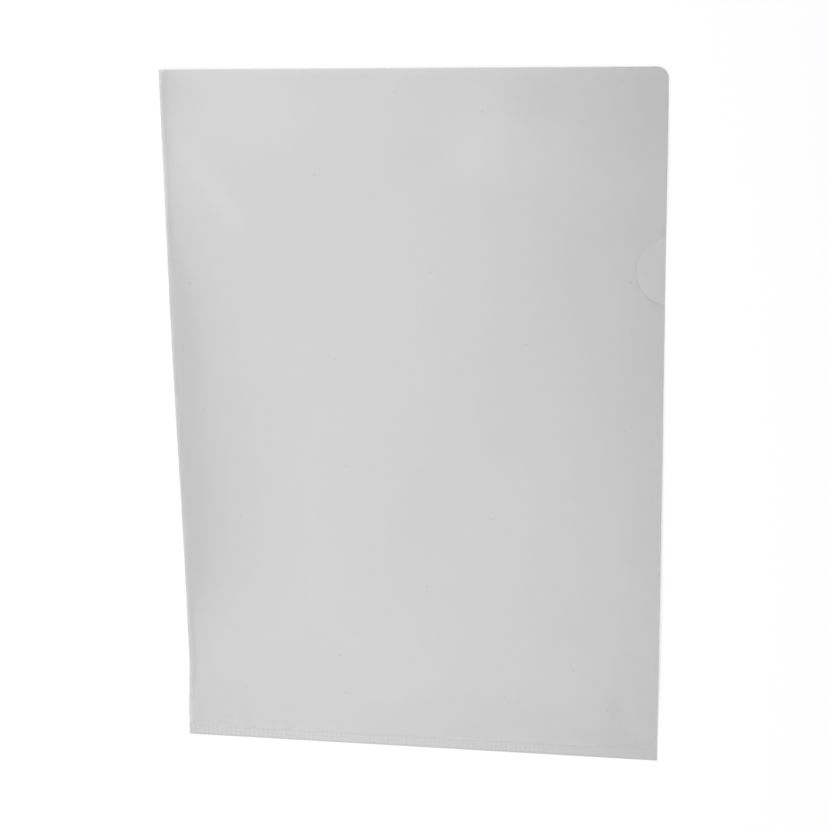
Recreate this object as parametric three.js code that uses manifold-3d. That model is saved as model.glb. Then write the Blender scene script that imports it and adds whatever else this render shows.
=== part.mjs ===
// Open-sided page folder made from one sheet of frosted plastic film, in millimetres.
// The sheet is folded once along its left side and welded along its bottom, so the pocket
// is open along the top and the right. It lies on its back leaf, front leaf up: X runs across
// the page from the fold to the open side, Y runs up the page and Z is up. The origin is the
// middle of the footprint, on the underside of the back leaf.

import * as THREE from 'three';
import { mergeGeometries, mergeVertices } from 'three/addons/utils/BufferGeometryUtils.js';
import Module from 'manifold-3d';

const wasm = await Module();
wasm.setup();

// The sheet
const pageWidth = 220;
const pageHeight = 310;
const film = 0.2;
const cornerRadius = 5; // top corner of both leaves on the open side

// How far apart the two leaves stand inside the pocket
const gapAtWeld = 0.1;
const gapAtCrest = 3.2;
const gapAtTop = 0.8;

// Bottom weld and the foot of the front leaf, which climbs from the weld to its crest
const weldHeight = 5;
const footHeight = 37;

// Dents that the teeth of the welding tool leave in the weld
const dentPitch = 2.2;
const dentRows = 2;
const firstRowHeight = 1.9;
const rowSpacing = 1.8;
const dentLength = 1.3;
const dentWidth = 1.0;
const dentDepth = 0.12;
const dentTaper = 0.55; // floor of a dent as a share of its mouth
const dentEndMargin = 1.1; // from the ends of the weld to the first and last dent

// Side fold
const foldArm = 1; // flat film on each side of the roll, past its middle
const foldSteps = 8; // facets round each half of the roll

// Thumb notch in the open edge of the front leaf
const notchBelowTop = 86;
const notchChord = 29;
const notchDepth = 12.7;

// Line across which the free corner of the front leaf bends up
const bendTopInset = 5; // from the fold's strip, along the top edge
const bendFootRise = 4; // above the crest, along the open edge
const bendClearance = 0.3;

// Film finish
const filmColour = 0xd2d3d4;
const filmRoughness = 0.36;
const filmOpacity = 0.85;

const arcSteps = 16;

const left = -pageWidth / 2;
const right = pageWidth / 2;
const bottom = -pageHeight / 2;
const top = pageHeight / 2;
const weldTop = bottom + weldHeight;
const crest = weldTop + footHeight;

// The film's middle line keeps its length round the roll, so a fuller roll draws its edge in
const retreatOf = (gap) => (Math.PI / 2 - 1) * (gap + film) / 2;
const rollRadiusOf = (gap) => film + gap / 2;
const foldInner = left + retreatOf(gapAtCrest) + rollRadiusOf(gapAtCrest) + foldArm;

function filmMaterial() {
  return new THREE.MeshStandardMaterial({
    color: filmColour,
    roughness: filmRoughness,
    metalness: 0,
    transparent: true,
    opacity: filmOpacity,
  });
}

function toSolid(geometry) {
  const bare = geometry.index ? geometry.toNonIndexed() : geometry.clone();
  bare.deleteAttribute('normal');
  bare.deleteAttribute('uv');
  const merged = mergeVertices(bare, 1e-4);
  return new wasm.Manifold(new wasm.Mesh({
    numProp: 3,
    vertProperties: merged.attributes.position.array,
    triVerts: new Uint32Array(merged.index.array),
  }));
}

function toGeometry(solid) {
  const mesh = solid.getMesh();
  const geometry = new THREE.BufferGeometry();
  geometry.setAttribute('position', new THREE.BufferAttribute(mesh.vertProperties, 3));
  geometry.setIndex(new THREE.BufferAttribute(mesh.triVerts, 1));
  return geometry;
}

// A flat piece of film with its underside on z = 0
function filmPlate(outline, thickness = film) {
  return new THREE.ExtrudeGeometry(outline, {
    depth: thickness,
    bevelEnabled: false,
    curveSegments: arcSteps,
  });
}

// Raises a flat piece so that its underside runs straight from one height to another up the page
function slopeUpPage(geometry, lowY, lowZ, highY, highZ) {
  const slope = (highZ - lowZ) / (highY - lowY);
  const shear = new THREE.Matrix4().set(
    1, 0, 0, 0,
    0, 1, 0, 0,
    0, slope, 1, lowZ - slope * lowY,
    0, 0, 0, 1,
  );
  return geometry.applyMatrix4(shear);
}

// The front leaf above its crest is one plane: every piece of it takes the same slope
function onFrontLeaf(geometry) {
  return slopeUpPage(geometry, crest, film + gapAtCrest, top, film + gapAtTop);
}

// Skins closed sections of equal point counts, set one behind the other up the page
function loft(sections) {
  const count = sections[0].points.length;
  const positions = sections.flatMap(({ y, points }) => points.flatMap(({ x, y: z }) => [x, y, z]));
  const faces = [];
  for (let s = 0; s < sections.length - 1; s += 1) {
    for (let i = 0; i < count; i += 1) {
      const next = (i + 1) % count;
      const [a, b] = [s * count + i, s * count + next];
      const [c, d] = [a + count, b + count];
      faces.push(a, b, c, b, d, c);
    }
  }
  const firstCap = THREE.ShapeUtils.triangulateShape(sections[0].points, []);
  const lastCap = THREE.ShapeUtils.triangulateShape(sections.at(-1).points, []);
  const offset = (sections.length - 1) * count;
  firstCap.forEach(([a, b, c]) => faces.push(a, b, c));
  lastCap.forEach(([a, b, c]) => faces.push(offset + a, offset + c, offset + b));
  const geometry = new THREE.BufferGeometry();
  geometry.setAttribute('position', new THREE.Float32BufferAttribute(positions, 3));
  geometry.setIndex(faces);
  return geometry;
}

// Half of the fold's section where the leaves stand the given gap apart, seen up the page. The back
// half rolls up from its arm to the crease at the outer edge, and the front half is its mirror image.
function foldSection(gap, isFront) {
  const outer = rollRadiusOf(gap);
  const middle = left + retreatOf(gap) + outer;
  const around = (radius, step) => {
    const angle = -Math.PI / 2 * (1 + step / foldSteps);
    return new THREE.Vector2(middle + radius * Math.cos(angle), outer + radius * Math.sin(angle));
  };
  const steps = Array.from({ length: foldSteps + 1 }, (_, step) => step);
  const backHalf = [
    new THREE.Vector2(foldInner, 0),
    ...steps.map((step) => around(outer, step)),
    ...steps.reverse().map((step) => around(outer - film, step)),
    new THREE.Vector2(foldInner, film),
  ];
  if (!isFront) return backHalf;
  return backHalf.map(({ x, y }) => new THREE.Vector2(x, 2 * outer - y)).reverse();
}

function makeFoldHalf(isFront, low, high) {
  return loft([low, high].map(({ y, gap }) => ({ y, points: foldSection(gap, isFront) })));
}

// Rows of four-sided dents, as one group of separate solids that stand out of the weld's top
function dentTeeth() {
  const thickness = 2 * film;
  const count = Math.floor((pageWidth - 2 * dentEndMargin - dentLength) / dentPitch) + 1;
  const mouth = Math.SQRT1_2;
  const tooth = new THREE.CylinderGeometry(mouth, mouth * dentTaper, dentDepth, 4)
    .rotateY(Math.PI / 4)
    .rotateX(Math.PI / 2)
    .scale(dentLength, dentWidth, 1);
  const riser = new THREE.BoxGeometry(dentLength, dentWidth, dentDepth);
  tooth.translate(0, 0, thickness - dentDepth / 2);
  riser.translate(0, 0, thickness + dentDepth / 2);
  const cutter = toGeometry(toSolid(tooth).add(toSolid(riser)));
  const teeth = [];
  for (let row = 0; row < dentRows; row += 1) {
    for (let i = 0; i < count; i += 1) {
      const x = (i - (count - 1) / 2) * dentPitch;
      teeth.push(cutter.clone().translate(x, bottom + firstRowHeight + row * rowSpacing, 0));
    }
  }
  return mergeGeometries(teeth);
}

function makeWeld() {
  const strip = new THREE.BoxGeometry(pageWidth, weldHeight, 2 * film);
  strip.translate(0, bottom + weldHeight / 2, film);
  return toGeometry(toSolid(strip).subtract(toSolid(dentTeeth())));
}

function makeBackLeaf() {
  const outline = new THREE.Shape();
  outline.moveTo(foldInner, weldTop);
  outline.lineTo(right, weldTop);
  outline.lineTo(right, top - cornerRadius);
  outline.absarc(right - cornerRadius, top - cornerRadius, cornerRadius, 0, Math.PI / 2, false);
  outline.lineTo(foldInner, top);
  outline.closePath();
  return filmPlate(outline);
}

function makeFrontFoot() {
  const outline = new THREE.Shape();
  outline.moveTo(foldInner, weldTop);
  outline.lineTo(right, weldTop);
  outline.lineTo(right, crest);
  outline.lineTo(foldInner, crest);
  outline.closePath();
  return slopeUpPage(filmPlate(outline), weldTop, film + gapAtWeld, crest, film + gapAtCrest);
}

// The bend runs from the top edge, near the fold, to the open edge, above the crest
const bendTop = new THREE.Vector2(foldInner + bendTopInset, top);
const bendFoot = new THREE.Vector2(right, crest + bendFootRise);
const alongBend = bendFoot.clone().sub(bendTop).normalize();
const acrossBend = new THREE.Vector2(-alongBend.y, alongBend.x);
const topShift = bendClearance / 2 / acrossBend.x;
const footShift = bendClearance / 2 / acrossBend.y;

function makeFrontSide() {
  const outline = new THREE.Shape();
  outline.moveTo(foldInner, crest);
  outline.lineTo(right, crest);
  outline.lineTo(bendFoot.x, bendFoot.y - footShift);
  outline.lineTo(bendTop.x - topShift, bendTop.y);
  outline.lineTo(foldInner, top);
  outline.closePath();
  return onFrontLeaf(filmPlate(outline));
}

function makeFrontFlap() {
  const notchY = top - notchBelowTop;
  const notchRadius = (notchChord ** 2 / 4 + notchDepth ** 2) / (2 * notchDepth);
  const notchX = right + notchRadius - notchDepth;
  const lowAngle = Math.atan2(-notchChord / 2, right - notchX);
  const outline = new THREE.Shape();
  outline.moveTo(bendFoot.x, bendFoot.y + footShift);
  outline.lineTo(right, notchY - notchChord / 2);
  outline.absarc(notchX, notchY, notchRadius, lowAngle, -lowAngle, true);
  outline.lineTo(right, top - cornerRadius);
  outline.absarc(right - cornerRadius, top - cornerRadius, cornerRadius, 0, Math.PI / 2, false);
  outline.lineTo(bendTop.x + topShift, bendTop.y);
  outline.closePath();
  return onFrontLeaf(filmPlate(outline));
}

// Where the fold's section is set: at the weld, at the front leaf's crest and at the open top
const atWeld = { y: weldTop, gap: gapAtWeld };
const atCrest = { y: crest, gap: gapAtCrest };
const atTop = { y: top, gap: gapAtTop };

const folder = new THREE.Group();

function addPiece(name, geometry) {
  const piece = new THREE.Mesh(geometry, filmMaterial());
  piece.name = name;
  folder.add(piece);
}

addPiece('back_leaf', makeBackLeaf());
addPiece('fold_back', makeFoldHalf(false, atCrest, atTop));
addPiece('fold_front', makeFoldHalf(true, atCrest, atTop));
addPiece('fold_foot_back', makeFoldHalf(false, atWeld, atCrest));
addPiece('fold_foot_front', makeFoldHalf(true, atWeld, atCrest));
addPiece('bottom_weld', makeWeld());
addPiece('front_leaf_foot', makeFrontFoot());
addPiece('front_leaf_side', makeFrontSide());
addPiece('front_leaf_flap', makeFrontFlap());

export default folder;
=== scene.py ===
import bpy
import numpy as np
from mathutils import Matrix, Vector


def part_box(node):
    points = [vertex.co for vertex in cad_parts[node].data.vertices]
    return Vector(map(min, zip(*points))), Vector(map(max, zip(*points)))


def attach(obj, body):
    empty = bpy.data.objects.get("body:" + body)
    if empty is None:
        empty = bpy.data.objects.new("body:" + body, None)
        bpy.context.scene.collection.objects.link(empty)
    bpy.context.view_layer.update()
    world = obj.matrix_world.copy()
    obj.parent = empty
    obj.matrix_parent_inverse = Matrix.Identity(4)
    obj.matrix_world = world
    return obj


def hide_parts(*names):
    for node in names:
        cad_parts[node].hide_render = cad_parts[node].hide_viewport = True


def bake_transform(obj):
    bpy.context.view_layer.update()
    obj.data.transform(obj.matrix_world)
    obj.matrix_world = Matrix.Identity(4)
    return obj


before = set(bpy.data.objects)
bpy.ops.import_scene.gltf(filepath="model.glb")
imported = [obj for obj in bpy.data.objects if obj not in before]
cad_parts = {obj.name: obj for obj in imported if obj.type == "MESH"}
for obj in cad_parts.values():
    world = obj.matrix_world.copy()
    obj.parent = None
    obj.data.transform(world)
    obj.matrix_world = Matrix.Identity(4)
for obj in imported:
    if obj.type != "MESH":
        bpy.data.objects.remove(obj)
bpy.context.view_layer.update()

mm = 0.001  # the page is worked out in mm, and Blender is in metres


# The page, read off the frame


def nodeBox(name):
    return [[value / mm for value in corner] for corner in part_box(name)]


weldLow, weldHigh = nodeBox("bottom_weld")
backLow, backHigh = nodeBox("back_leaf")
foldLow, foldHigh = nodeBox("fold_front")
flapLow = nodeBox("front_leaf_flap")[0]
film = backHigh[2] - backLow[2]
page = {
    "left": weldLow[0],
    "right": weldHigh[0],
    "bottom": weldLow[1],
    "top": backHigh[1],
    "weldTop": weldHigh[1],
    "weldThickness": weldHigh[2],
    "crest": foldLow[1],  # where the front leaf has climbed clear of the weld
    "foldInner": foldHigh[0],
    "crestMiddle": foldHigh[2] - film / 2,  # height of the middle of the front leaf's film
    "topMiddle": flapLow[2] + film / 2,
    "weldMiddle": 1.45 * film,  # the front leaf's film, where the weld takes hold of it
}


def upPage(heightAboveBottom):
    return page["bottom"] + heightAboveBottom


def ease(value, low, high):  # 0 below low, 1 above high, smooth in between
    t = np.clip((value - low) / (high - low), 0, 1)
    return t * t * (3 - 2 * t)


def oval(at, long, wide, turn, height):  # at is across from the middle and up from the bottom
    return {"at": at, "long": long, "wide": wide, "turn": turn, "height": height}


def softOval(x, y, mark):  # full height in the middle, fading out past its length and width
    dx, dy = x - mark["at"][0], y - upPage(mark["at"][1])
    turn = np.radians(mark["turn"])
    along = dx * np.cos(turn) + dy * np.sin(turn)
    across = dy * np.cos(turn) - dx * np.sin(turn)
    return mark["height"] * np.exp(-((along / mark["long"]) ** 2) - (across / mark["wide"]) ** 2)


# Meshes


def newPiece(name, vertices, faces):
    mesh = bpy.data.meshes.new(name)
    mesh.from_pydata([tuple(v) for v in np.asarray(vertices) * mm], [], faces)
    mesh.update()
    piece = bpy.data.objects.new(name, mesh)
    bpy.context.scene.collection.objects.link(piece)
    return piece


def gridFaces(rows, columns):
    faces = []
    for row in range(rows - 1):
        for column in range(columns - 1):
            a = row * columns + column
            faces.append((a, a + 1, a + columns + 1, a + columns))
    return faces


def giveThickness(piece, thickness):  # the cut edges take the piece's second material
    solid = piece.modifiers.new("thickness", "SOLIDIFY")
    solid.thickness = thickness * mm
    solid.offset = 0
    solid.use_even_offset = True
    solid.material_offset_rim = 1
    applyModifiers(piece)


def applyModifiers(piece):
    bpy.context.view_layer.update()
    evaluated = piece.evaluated_get(bpy.context.evaluated_depsgraph_get())
    mesh = bpy.data.meshes.new_from_object(evaluated)
    old = piece.data
    piece.modifiers.clear()
    piece.data = mesh
    mesh.name = piece.name
    bpy.data.meshes.remove(old)


def shadeSmooth(piece, sharpAngle=40):
    piece.data.shade_smooth()
    piece.data.set_sharp_from_angle(angle=np.radians(sharpAngle))


def vertexPlaces(piece):  # across and up the page, in mm
    return np.array([vertex.co for vertex in piece.data.vertices]).T[:2] / mm


def markPaler(piece, shares):  # one share for each vertex, which the material reads
    piece.data.attributes.new("paler", "FLOAT", "POINT").data.foreach_set("value", shares)


# Outline of the open side

openEdge = {
    "cornerRadius": 5,
    "notchBelowTop": 86,
    "notchChord": 29,
    "notchDepth": 12.7,
    "notchSteps": 26,
    "cornerSteps": 9,
    "rowStep": 2.5,
    "columnStep": 2.5,
    "drawnInFrom": 75,  # columns right of this follow the notch and the corner
}
halfChord = openEdge["notchChord"] / 2
notchRadius = (halfChord**2 + openEdge["notchDepth"] ** 2) / (2 * openEdge["notchDepth"])
notchMiddleX = page["right"] + notchRadius - openEdge["notchDepth"]
notchMiddleY = page["top"] - openEdge["notchBelowTop"]


def cornerX(y):
    radius = openEdge["cornerRadius"]
    past = np.clip(y - (page["top"] - radius), 0, radius)
    return page["right"] - radius + np.sqrt(radius**2 - past**2)


def notchX(y):
    across = np.abs(y - notchMiddleY)
    inside = across <= halfChord + 1e-6
    edge = notchMiddleX - np.sqrt(np.clip(notchRadius**2 - across**2, 0, None))
    return np.where(inside, np.minimum(edge, page["right"]), page["right"])


def openX(y, notched):
    return np.minimum(cornerX(y), notchX(y)) if notched else cornerX(y)


def evenSteps(low, high, step):
    return np.linspace(low, high, max(2, int(round((high - low) / step)) + 1))


def pageRows():  # closer together at the foot, along the notch and round the corner
    halfAngle = np.arcsin(halfChord / notchRadius)
    angles = np.linspace(-halfAngle, halfAngle, openEdge["notchSteps"] + 1)
    notchRows = notchMiddleY + notchRadius * np.sin(angles)
    cornerAngles = np.linspace(0, np.pi / 2, openEdge["cornerSteps"] + 1)
    cornerRows = page["top"] - openEdge["cornerRadius"] * (1 - np.sin(cornerAngles))
    step = openEdge["rowStep"]
    stretches = [
        evenSteps(page["weldTop"], page["crest"], step / 2),
        evenSteps(page["crest"], notchRows[0], step),
        notchRows,
        evenSteps(notchRows[-1], cornerRows[0], step),
        cornerRows,
    ]
    return np.unique(np.round(np.concatenate(stretches), 6))


def followOpenEdge(x, y, notched):  # moves the last columns in so that they end on the outline
    start = openEdge["drawnInFrom"]
    share = (openX(y, notched) - start) / (page["right"] - start)
    return np.where(x > start, start + (x - start) * share, x)


# Front leaf, one sheet of film from the underside of the fold to the open edge

frontLeaf = {
    "creaseRadius": 0.45,  # middle of the film, at the outermost line of the fold
    "creaseSteps": 10,
    "armSteps": 3,  # along the flat underside of the fold
    "tightRoll": 0.9,  # how far the film takes to flatten off the crease
    "softRoll": 10,  # and how far where the fold is soft
    "softShare": 0.9,
    "softFrom": (45, 110),  # above the bottom edge, where the fold turns soft
    "softTo": (200, 250),
    "retreatMost": 1.33,  # how far the soft fold draws its edge in
    "retreatLeast": 0.14,
    "retreatFrom": (5, 40),
    "retreatFade": (60, 210),
    "nearColumns": (0.2, 0.45, 0.75, 1.1, 1.5, 2, 2.6, 3.3, 4.2, 5.3, 6.6, 8.2, 10),  # off the crease
    "underWeld": 0.6,  # how far the film runs on inside the weld
    "seamRows": (0.3, 0.6, 0.9),  # extra rows just above the weld
    "topDrop": 0.25,  # below the frame's leaf, at the open top
    "climbLength": 32,  # up the page, over which the leaf leaves the weld
    "climbEase": 1.45,
    "openSag": 0.56,  # share by which the leaf lies lower on its open side
    "sagFrom": 0.15,  # share of the page's width
    "weldHold": 6.5,  # up the page, over which the weld still irons the swells out
    "crestLine": {"height": 0.25, "spread": 14, "from": 45, "to": 80},  # low ridge at the crest
    "swells": [
        oval((-105, 275), 95, 23, 90, 0.8),  # roll beside the fold's top
        oval((-50, 130), 100, 30, 105, 0.8),  # back of the page's bow
        oval((-85, 60), 65, 18, 40, 0.3),  # fold's foot
        oval((60, 285), 75, 20, -10, 0.8),  # wave along the open top
        oval((30, 120), 80, 40, 70, -0.8),  # hollow of the page's bow
        oval((115, 80), 75, 30, 85, 0.8),  # open edge below the notch
        oval((90, 10), 55, 15, -15, -0.6),  # foot held down by the weld
        oval((110, 222), 38, 26, 90, -0.7),  # pocket pressed shut at the notch
        oval((122, 312), 30, 24, 90, -0.6),  # top corner dips
        oval((105, 262), 38, 22, 90, 0.25),  # swell between notch and corner
        oval((120, 140), 70, 15, 90, -0.25),  # open edge dips
        oval((-96, 258), 22, 7, -57, 0.2),  # ridge beside the pale streak
        oval((-82, 275), 24, 9, -44, -0.25),  # trough from the top left corner
        oval((-95, 308), 20, 12, 10, 0.3),  # top left corner lifts
        oval((14, 279), 17, 14, 20, -0.65),  # dimple near the top edge
        oval((41, 296), 14, 10, 0, 0.3),  # rim of the dimple, above
        oval((18, 250), 24, 9, 15, 0.2),  # and below
    ],
    "lowest": 0.33,  # the film's middle, where it would touch the back leaf
    "foldLine": 1.5,  # width of the paler line along the fold, a painted highlight where the tight roll catches light
    "palerFold": 1.3,
    "foldLineFrom": (8, 28),  # up the page, where that line gains its full strength
    "foldLineLeast": 0.6,
    "foldLineLoss": 0.6,  # share that it loses where the fold is soft
    "seamLine": 0.5,  # width of the paler line along the weld, painted light that lifts the dark line the film renders where it runs into the weld
    "palerSeam": 0.5,
}
paintedLightAndShade = [  # painted highlights where the film is paler (above 0), painted shade where it is duller (below 0)
    oval((-88, 260), 22, 5, -56, 0.25),  # painted highlight: pale streak
    oval((-105, 262), 14, 7, -75, 0.35),  # painted highlight where the streak meets the fold
    oval((-70, 294), 28, 23, 0, 0.28),  # painted highlight on the top left corner
    oval((30, 274), 13, 7, 75, 0.13),  # painted highlight on the rim of the dimple
    oval((88, 214), 32, 12, 90, 0.3),  # painted light left of the notch
    oval((12, 9), 50, 16, 0, -0.28),  # painted shade over the middle of the foot
]


# painted highlights and shade, as a paler share for each vertex
def paintedLightShare(x, y):
    return sum(softOval(x, y, spot) for spot in paintedLightAndShade)


def frontHeight(x, y):  # middle of the front leaf's film, above the table
    fall = (y - page["crest"]) / (page["top"] - page["crest"])
    toTop = page["topMiddle"] - frontLeaf["topDrop"] - page["crestMiddle"]
    body = page["crestMiddle"] + toTop * fall
    aboveWeld = np.clip(y - page["weldTop"], 0, None)
    rise = 1 - np.exp(-((aboveWeld / frontLeaf["climbLength"]) ** frontLeaf["climbEase"]))
    across = (x - page["left"]) / (page["right"] - page["left"])
    sag = 1 - frontLeaf["openSag"] * ease(across, frontLeaf["sagFrom"], 1)
    line = frontLeaf["crestLine"]
    ridge = line["height"] * np.exp(-np.abs(y - page["crest"]) / line["spread"])
    swells = ridge * ease(x, line["from"], line["to"])
    swells = swells + sum(softOval(x, y, swell) for swell in frontLeaf["swells"])
    swells = swells * (1 - np.exp(-aboveWeld / frontLeaf["weldHold"]))
    height = page["weldMiddle"] + (body - page["weldMiddle"]) * rise * sag + swells
    return np.maximum(height, np.minimum(frontLeaf["lowest"], page["weldMiddle"]))


def foldRetreat(y):
    above = y - page["bottom"]
    rise = ease(above, *frontLeaf["retreatFrom"])
    low, high = frontLeaf["retreatFade"]
    fall = 0.5 * (1 + np.cos(np.pi * np.clip((above - low) / (high - low), 0, 1)))
    return frontLeaf["retreatLeast"] * rise + frontLeaf["retreatMost"] * rise * fall


def softness(y):
    above = y - page["bottom"]
    gained = ease(above, *frontLeaf["softFrom"])
    return frontLeaf["softShare"] * gained * (1 - ease(above, *frontLeaf["softTo"]))


def frontRow(y, leafShares):
    underside = film / 2
    creaseX = page["left"] + film / 2 + foldRetreat(y)
    target = float(frontHeight(creaseX, y))
    radius = max(min(frontLeaf["creaseRadius"], (target - underside) / 2), film / 2)
    soft = float(softness(y))
    steepness = (1 - soft) / frontLeaf["tightRoll"] + soft / frontLeaf["softRoll"]
    heading = 0.0  # where the crease ends, the film heads up the slope that the roll starts with
    for _ in range(8):
        top = underside + radius * (1 + np.cos(heading))
        heading = np.arctan(max(target - top, 0) * steepness)
    headings = np.linspace(np.pi, heading, frontLeaf["creaseSteps"] + 1)
    middleX, middleZ = creaseX + radius, underside + radius
    arcX = middleX + radius * np.cos(headings + np.pi / 2)
    arcZ = middleZ + radius * np.sin(headings + np.pi / 2)
    armX = np.linspace(page["foldInner"], middleX, frontLeaf["armSteps"] + 1)[:-1]
    startX, startZ = arcX[-1], arcZ[-1]
    leafX = startX + (page["right"] - startX) * leafShares
    leafX = followOpenEdge(leafX, y, True)
    inward = leafX - startX
    tight = np.exp(-inward / frontLeaf["tightRoll"])
    slack = np.exp(-inward / frontLeaf["softRoll"])
    stillToClimb = (1 - soft) * tight + soft * slack
    leafZ = frontHeight(leafX, y) - (frontHeight(startX, y) - startZ) * stillToClimb
    xs = np.concatenate([armX, arcX, leafX])
    zs = np.concatenate([np.full(len(armX), underside), arcZ, leafZ])
    return np.stack([xs, np.full(len(xs), y), zs], axis=1)


def leafColumns():  # shares of the leaf's width: close together beside the crease, then even
    width = page["right"] - page["left"]
    near = np.array(frontLeaf["nearColumns"])
    far = evenSteps(near[-1], width, openEdge["columnStep"])[1:]
    return np.concatenate([near, far]) / width


def makeFrontLeaf(faceMaterial, edgeMaterial):
    seam = page["weldTop"]
    besideWeld = [seam - frontLeaf["underWeld"]] + [seam + up for up in frontLeaf["seamRows"]]
    rows = np.sort(np.concatenate([besideWeld, pageRows()]))
    shares = leafColumns()
    grid = np.stack([frontRow(y, shares) for y in rows])
    piece = newPiece("front_leaf_film", grid.reshape(-1, 3), gridFaces(len(rows), grid.shape[1]))
    piece.data.materials.append(faceMaterial)
    piece.data.materials.append(edgeMaterial)
    giveThickness(piece, film)
    shadeSmooth(piece)
    x, y = vertexPlaces(piece)
    fromFold = x - page["left"] - foldRetreat(y)
    least = frontLeaf["foldLineLeast"]
    strength = least + (1 - least) * ease(y - page["bottom"], *frontLeaf["foldLineFrom"])
    strength = strength * (1 - frontLeaf["foldLineLoss"] * softness(y))
    # painted highlight along the fold
    alongFold = strength * np.exp(-((fromFold / frontLeaf["foldLine"]) ** 2))
    # painted light along the weld seam
    alongSeam = np.exp(-(((y - seam) / frontLeaf["seamLine"]) ** 2))
    paler = frontLeaf["palerFold"] * alongFold + frontLeaf["palerSeam"] * alongSeam
    markPaler(piece, paler + paintedLightShare(x, y))
    return piece


# Back leaf, flat on the table but for one low wave

backLeaf = {
    "seamGap": 0.02,  # from the underside of the fold
    "columnStep": 5,
    "wave": oval((95, 300), 60, 40, 45, 0.15),
    "notchShade": oval((106, 224), 17, 15, 0, -0.2),  # painted shade on the back leaf where the notch bares it
}


def makeBackLeaf(faceMaterial, edgeMaterial):
    rows = pageRows()
    start = page["foldInner"] + backLeaf["seamGap"]
    columns = evenSteps(start, page["right"], backLeaf["columnStep"])
    x, y = np.meshgrid(columns, rows)
    x = followOpenEdge(x, y, False)
    z = film / 2 + softOval(x, y, backLeaf["wave"])
    vertices = np.stack([x, y, z], axis=-1).reshape(-1, 3)
    piece = newPiece("back_leaf_film", vertices, gridFaces(len(rows), len(columns)))
    piece.data.materials.append(faceMaterial)
    piece.data.materials.append(edgeMaterial)
    giveThickness(piece, film)
    shadeSmooth(piece)
    x, y = vertexPlaces(piece)
    # painted shade in the notch
    markPaler(piece, softOval(x, y, backLeaf["notchShade"]))
    return piece


# Bottom weld: both leaves fused, and pressed with two rows of dents

weld = {
    "pitch": 2.2,
    "rows": (1.9, 3.7),
    "length": 1.1,
    "width": 0.9,
    "softRim": 0.3,
    "depth": 0.06,
    "palerDents": 0.6,
    "lighterFrom": (35, 80),  # across the page, where the tool pressed less
    "lightTouch": 0.15,
    "edgeRound": 0.12,  # how far the bottom edge is squeezed down
    "edgeWidth": 1,
    "columnStep": 0.275,
    "rowStep": 0.25,
}


def insideDent(distance, size):
    return 1 - ease(np.abs(distance), (size - weld["softRim"]) / 2, (size + weld["softRim"]) / 2)


def pressedShare(x, above):  # 1 in the middle of a dent, 0 between them
    nearest = x - weld["pitch"] * np.round(x / weld["pitch"])
    inWidth = sum(insideDent(above - row, weld["width"]) for row in weld["rows"])
    return insideDent(nearest, weld["length"]) * inWidth


def rimOf(rows, columns):  # indices round the outside of a grid
    last = (rows - 1) * columns
    bottomEdge = list(range(columns))
    rightEdge = [row * columns + columns - 1 for row in range(1, rows)]
    topEdge = [last + column for column in range(columns - 2, -1, -1)]
    leftEdge = [row * columns for row in range(rows - 2, 0, -1)]
    return bottomEdge + rightEdge + topEdge + leftEdge


def makeWeld(material):
    columns = evenSteps(page["left"], page["right"], weld["columnStep"])
    rows = evenSteps(page["bottom"], page["weldTop"], weld["rowStep"])
    x, y = np.meshgrid(columns, rows)
    above = y - page["bottom"]
    pressed = pressedShare(x, above)
    firmness = 1 - (1 - weld["lightTouch"]) * ease(x, *weld["lighterFrom"])
    squeezed = weld["edgeRound"] * (1 - ease(above, 0, weld["edgeWidth"]))
    upper = page["weldThickness"] - squeezed - weld["depth"] * pressed * firmness
    top = np.stack([x, y, upper], axis=-1).reshape(-1, 3)
    under = np.stack([x, y, np.zeros_like(upper)], axis=-1).reshape(-1, 3)
    count = len(top)
    faces = gridFaces(len(rows), len(columns))
    faces += [tuple(reversed([i + count for i in face])) for face in faces]
    rim = rimOf(len(rows), len(columns))
    for i, j in zip(rim, rim[1:] + rim[:1]):
        faces.append((i, i + count, j + count, j))
    piece = newPiece("weld_strip", np.concatenate([top, under]), faces)
    # the dents are paler, and the painted highlights and shade carry on over the weld
    paler = weld["palerDents"] * pressed * firmness + paintedLightShare(x, y)
    markPaler(piece, np.concatenate([paler.ravel(), np.zeros(count)]))
    piece.data.materials.append(material)
    shadeSmooth(piece)
    return piece


# Materials: the same frosted plastic as film, as a cut edge and as the pressed weld

frostedFilm = {
    "colour": (0.63, 0.63, 0.632),
    "alpha": 0.6,  # of each face of the film, and a leaf is two faces
    "ior": 1.49,
    "scatter": 1,
    "scatterLength": 0.0003,
    "roughness": 0.24,
    "roughnessSpread": 0.02,
    "cloud": 14,
    "cloudShade": 0.01,
    "grain": 2600,
    "grainBump": 0.05,
    "grainDepth": 0.00005,
}
# the back leaf is the same film as the front; its darker colour is painted shade
backFilm = {**frostedFilm, "colour": (0.565, 0.565, 0.567), "alpha": 0.8}
# lighter colour: a painted highlight of the cut edges catching light
cutEdge = {**frostedFilm, "colour": (0.74, 0.74, 0.745), "alpha": 0.5, "roughness": 0.4}
fusedFilm = {
    **frostedFilm,
    "colour": (0.47, 0.47, 0.472),
    "alpha": 0.87,
    "roughness": 0.3,
    "scatter": 0,
}
palerShade = 0.15  # how much lighter the film is at a paler share of 1; the shares also hold painted highlights and painted shade
dust = {"cells": 17, "core": 0.0002, "rim": 0.0005, "shade": 0.15}  # one speck in each cell
# a darker patch, low on the open side
darkPatch = {
    "at": (90.5, 20),
    "long": 19,
    "wide": 7,
    "turn": 96,
    "shade": -0.065,
    "fadeFrom": 0.1,  # share of the way out
    "patches": 260,
    "patchRange": (0.3, 0.7),
    "patchLeast": 0.5,
}


def feed(tree, source, node, socket):
    tree.links.new(source, node.inputs[socket])


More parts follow.
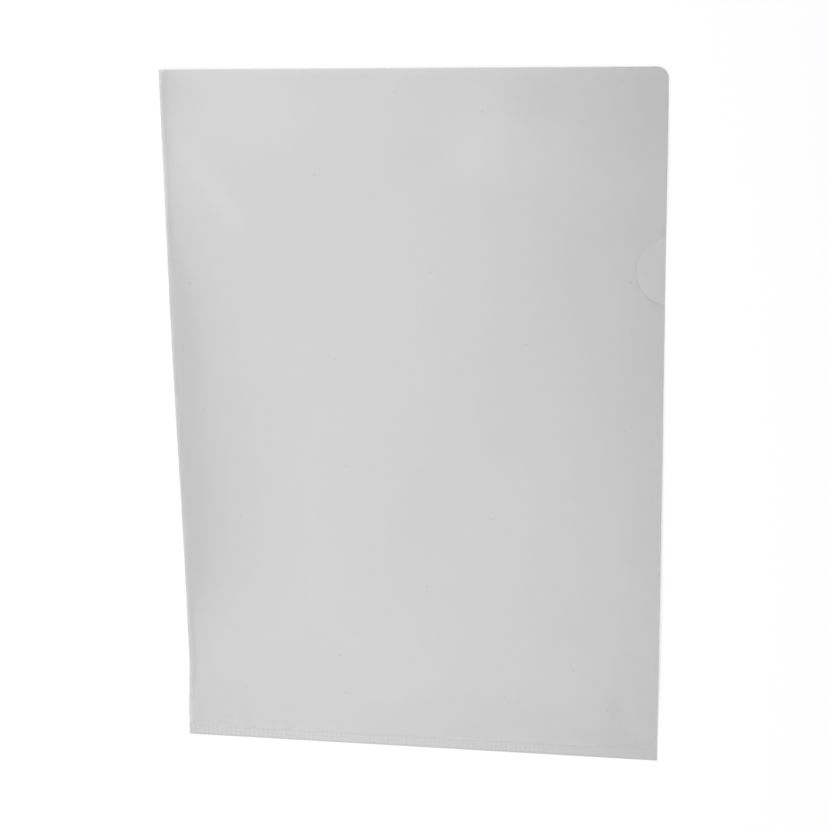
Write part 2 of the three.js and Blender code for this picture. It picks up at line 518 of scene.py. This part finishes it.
def addRange(tree, source, fromRange, toRange):
    node = tree.nodes.new("ShaderNodeMapRange")
    node.inputs["From Min"].default_value, node.inputs["From Max"].default_value = fromRange
    node.inputs["To Min"].default_value, node.inputs["To Max"].default_value = toRange
    feed(tree, source, node, "Value")
    return node.outputs["Result"]


def addNoise(tree, place, scale, detail):
    node = tree.nodes.new("ShaderNodeTexNoise")
    node.inputs["Scale"].default_value = scale
    node.inputs["Detail"].default_value = detail
    feed(tree, place, node, "Vector")
    return node.outputs["Fac"]


def addMath(tree, operation, first, second):
    node = tree.nodes.new("ShaderNodeMath")
    node.operation = operation
    feed(tree, first, node, 0)
    feed(tree, second, node, 1)
    return node.outputs[0]


def dustMarks(tree, place):  # sparse dark specks
    cells = tree.nodes.new("ShaderNodeTexVoronoi")
    cells.voronoi_dimensions = "2D"
    cells.inputs["Scale"].default_value = dust["cells"]
    feed(tree, place, cells, "Vector")
    reach = (dust["core"] * dust["cells"], dust["rim"] * dust["cells"])
    return addRange(tree, cells.outputs["Distance"], reach, (1 - dust["shade"], 1))


def insideDarkPatch(tree, place):  # 1 in the middle of the dark patch, 0 outside
    turned = tree.nodes.new("ShaderNodeMapping")
    turned.vector_type = "TEXTURE"
    middle = (darkPatch["at"][0] * mm, upPage(darkPatch["at"][1]) * mm, 0)
    turned.inputs["Location"].default_value = middle
    turned.inputs["Rotation"].default_value = (0, 0, np.radians(darkPatch["turn"]))
    turned.inputs["Scale"].default_value = (darkPatch["long"] * mm, darkPatch["wide"] * mm, 1)
    feed(tree, place, turned, "Vector")
    reach = tree.nodes.new("ShaderNodeVectorMath")
    reach.operation = "LENGTH"
    feed(tree, turned.outputs["Vector"], reach, 0)
    return addRange(tree, reach.outputs["Value"], (darkPatch["fadeFrom"], 1), (1, 0))


def darkPatchMark(tree, place):  # a darker patch, low on the open side
    noise = addNoise(tree, place, darkPatch["patches"], 2)
    patchy = addRange(tree, noise, darkPatch["patchRange"], (darkPatch["patchLeast"], 1))
    inside = addMath(tree, "MULTIPLY", insideDarkPatch(tree, place), patchy)
    return addRange(tree, inside, (0, 1), (1, 1 + darkPatch["shade"]))


def palerMarks(tree):  # the vertices' paler shares, also below 0, with painted highlights and painted shade among them
    share = tree.nodes.new("ShaderNodeAttribute")
    share.attribute_name = "paler"
    shade = tree.nodes.new("ShaderNodeMath")
    shade.operation = "MULTIPLY_ADD"
    feed(tree, share.outputs["Fac"], shade, 0)
    shade.inputs[1].default_value = palerShade
    shade.inputs[2].default_value = 1
    return shade.outputs[0]


def makeFrosted(name, look, marks=()):
    material = bpy.data.materials.new(name)
    material.use_nodes = True
    tree = material.node_tree
    shader = tree.nodes["Principled BSDF"]
    shader.inputs["Alpha"].default_value = look["alpha"]
    shader.inputs["IOR"].default_value = look["ior"]
    shader.inputs["Subsurface Weight"].default_value = look["scatter"]
    shader.inputs["Subsurface Radius"].default_value = (1, 1, 1)
    shader.inputs["Subsurface Scale"].default_value = look["scatterLength"]
    place = tree.nodes.new("ShaderNodeTexCoord").outputs["Object"]
    cloud = addNoise(tree, place, look["cloud"], 3)
    shade = addRange(tree, cloud, (0, 1), (1 - look["cloudShade"], 1 + look["cloudShade"]))
    shade = addMath(tree, "MULTIPLY", shade, palerMarks(tree))
    for mark in marks:
        shade = addMath(tree, "MULTIPLY", shade, mark(tree, place))
    tint = tree.nodes.new("ShaderNodeVectorMath")
    tint.operation = "SCALE"
    tint.inputs[0].default_value = look["colour"]
    feed(tree, shade, tint, "Scale")
    feed(tree, tint.outputs["Vector"], shader, "Base Color")
    roughness, spread = look["roughness"], look["roughnessSpread"]
    rough = addRange(tree, cloud, (0, 1), (roughness - spread, roughness + spread))
    feed(tree, rough, shader, "Roughness")
    bump = tree.nodes.new("ShaderNodeBump")
    bump.inputs["Strength"].default_value = look["grainBump"]
    bump.inputs["Distance"].default_value = look["grainDepth"]
    feed(tree, addNoise(tree, place, look["grain"], 2), bump, "Height")
    feed(tree, bump.outputs["Normal"], shader, "Normal")
    return material


# Floor, light and camera

studio = {
    "floorSize": 8000,
    "floorDrop": 0.1,
    "floorWhite": 0.9,
    "floorGlow": 0.6,
    "worldLevel": 0.435,
    "keySpot": (-260, -100, 1150),
    "keyWidth": 490,
    "keyLength": 2000,
    "keyPower": 15.5,
    "cameraSpot": (136.9, 192.9, 768.1),
    "cameraAim": (0.54, 4.21, 0.8),
    "cameraUp": (-0.0257, 0.9718, -0.2344),
    "lens": 78.61,
    "sensorWidth": 36,
    "nearestSeen": 0.05,
    "farthestSeen": 50,
}


def asBackground(tree):  # 1 for what is seen straight, in a reflection or through a surface
    path = tree.nodes.new("ShaderNodeLightPath")
    share = path.outputs["Is Camera Ray"]
    for ray in ("Is Glossy Ray", "Is Transmission Ray"):
        share = addMath(tree, "MAXIMUM", share, path.outputs[ray])
    return share


def makeFloor():
    half = studio["floorSize"] / 2
    drop = -studio["floorDrop"]
    corners = [(-half, -half, drop), (half, -half, drop), (half, half, drop), (-half, half, drop)]
    floor = newPiece("floor", corners, [(0, 1, 2, 3)])
    material = bpy.data.materials.new("floor_white")
    material.use_nodes = True
    tree = material.node_tree
    tree.nodes.clear()
    plain = tree.nodes.new("ShaderNodeBsdfDiffuse")
    plain.inputs["Color"].default_value = (studio["floorWhite"],) * 3 + (1,)
    glow = tree.nodes.new("ShaderNodeEmission")
    glow.inputs["Strength"].default_value = 1
    share = addRange(tree, asBackground(tree), (0, 1), (0, studio["floorGlow"]))
    mix = tree.nodes.new("ShaderNodeMixShader")
    feed(tree, share, mix, "Fac")
    feed(tree, plain.outputs[0], mix, 1)
    feed(tree, glow.outputs[0], mix, 2)
    out = tree.nodes.new("ShaderNodeOutputMaterial")
    feed(tree, mix.outputs[0], out, "Surface")
    floor.data.materials.append(material)


def makeWorld():
    world = bpy.data.worlds.new("studio")
    bpy.context.scene.world = world
    world.use_nodes = True
    tree = world.node_tree
    sky = tree.nodes["Background"]
    sky.inputs["Color"].default_value = (1, 1, 1, 1)
    level = addRange(tree, asBackground(tree), (0, 1), (studio["worldLevel"], 1))
    feed(tree, level, sky, "Strength")


def makeKeyLight():
    lamp = bpy.data.lights.new("softbox", "AREA")
    lamp.shape = "RECTANGLE"
    lamp.size = studio["keyWidth"] * mm
    lamp.size_y = studio["keyLength"] * mm
    lamp.energy = studio["keyPower"]
    holder = bpy.data.objects.new("softbox", lamp)
    holder.location = Vector(studio["keySpot"]) * mm
    bpy.context.scene.collection.objects.link(holder)


def makeCamera():
    data = bpy.data.cameras.new("camera")
    data.lens = studio["lens"]
    data.sensor_width = studio["sensorWidth"]
    data.clip_start = studio["nearestSeen"]
    data.clip_end = studio["farthestSeen"]
    camera = bpy.data.objects.new("camera", data)
    bpy.context.scene.collection.objects.link(camera)
    spot, aim = Vector(studio["cameraSpot"]), Vector(studio["cameraAim"])
    back = (spot - aim).normalized()
    right = Vector(studio["cameraUp"]).cross(back).normalized()
    up = back.cross(right)
    turn = Matrix((right, up, back)).transposed()
    camera.matrix_world = Matrix.Translation(spot * mm) @ turn.to_4x4()
    bpy.context.scene.camera = camera


bpy.context.scene.view_settings.view_transform = "Standard"
makeCamera()
makeFloor()
makeWorld()
makeKeyLight()
print("stage, light and camera set")

backMaterial = makeFrosted("frosted_film_below", backFilm)
frontMaterial = makeFrosted("frosted_film_above", frostedFilm, (dustMarks, darkPatchMark))
edgeMaterial = makeFrosted("cut_edge", cutEdge)
weldMaterial = makeFrosted("fused_film", fusedFilm)

backPiece = makeBackLeaf(backMaterial, edgeMaterial)
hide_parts("back_leaf")
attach(backPiece, "held_sheet")
print("back leaf:", len(backPiece.data.polygons), "faces")

frontPiece = makeFrontLeaf(frontMaterial, edgeMaterial)
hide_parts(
    "fold_back",
    "fold_front",
    "fold_foot_back",
    "fold_foot_front",
    "front_leaf_foot",
    "front_leaf_side",
    "front_leaf_flap",
)
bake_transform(frontPiece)
print("front leaf:", len(frontPiece.data.polygons), "faces")

weldPiece = makeWeld(weldMaterial)
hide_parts("bottom_weld")
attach(weldPiece, "held_sheet")
print("weld:", len(weldPiece.data.polygons), "faces")
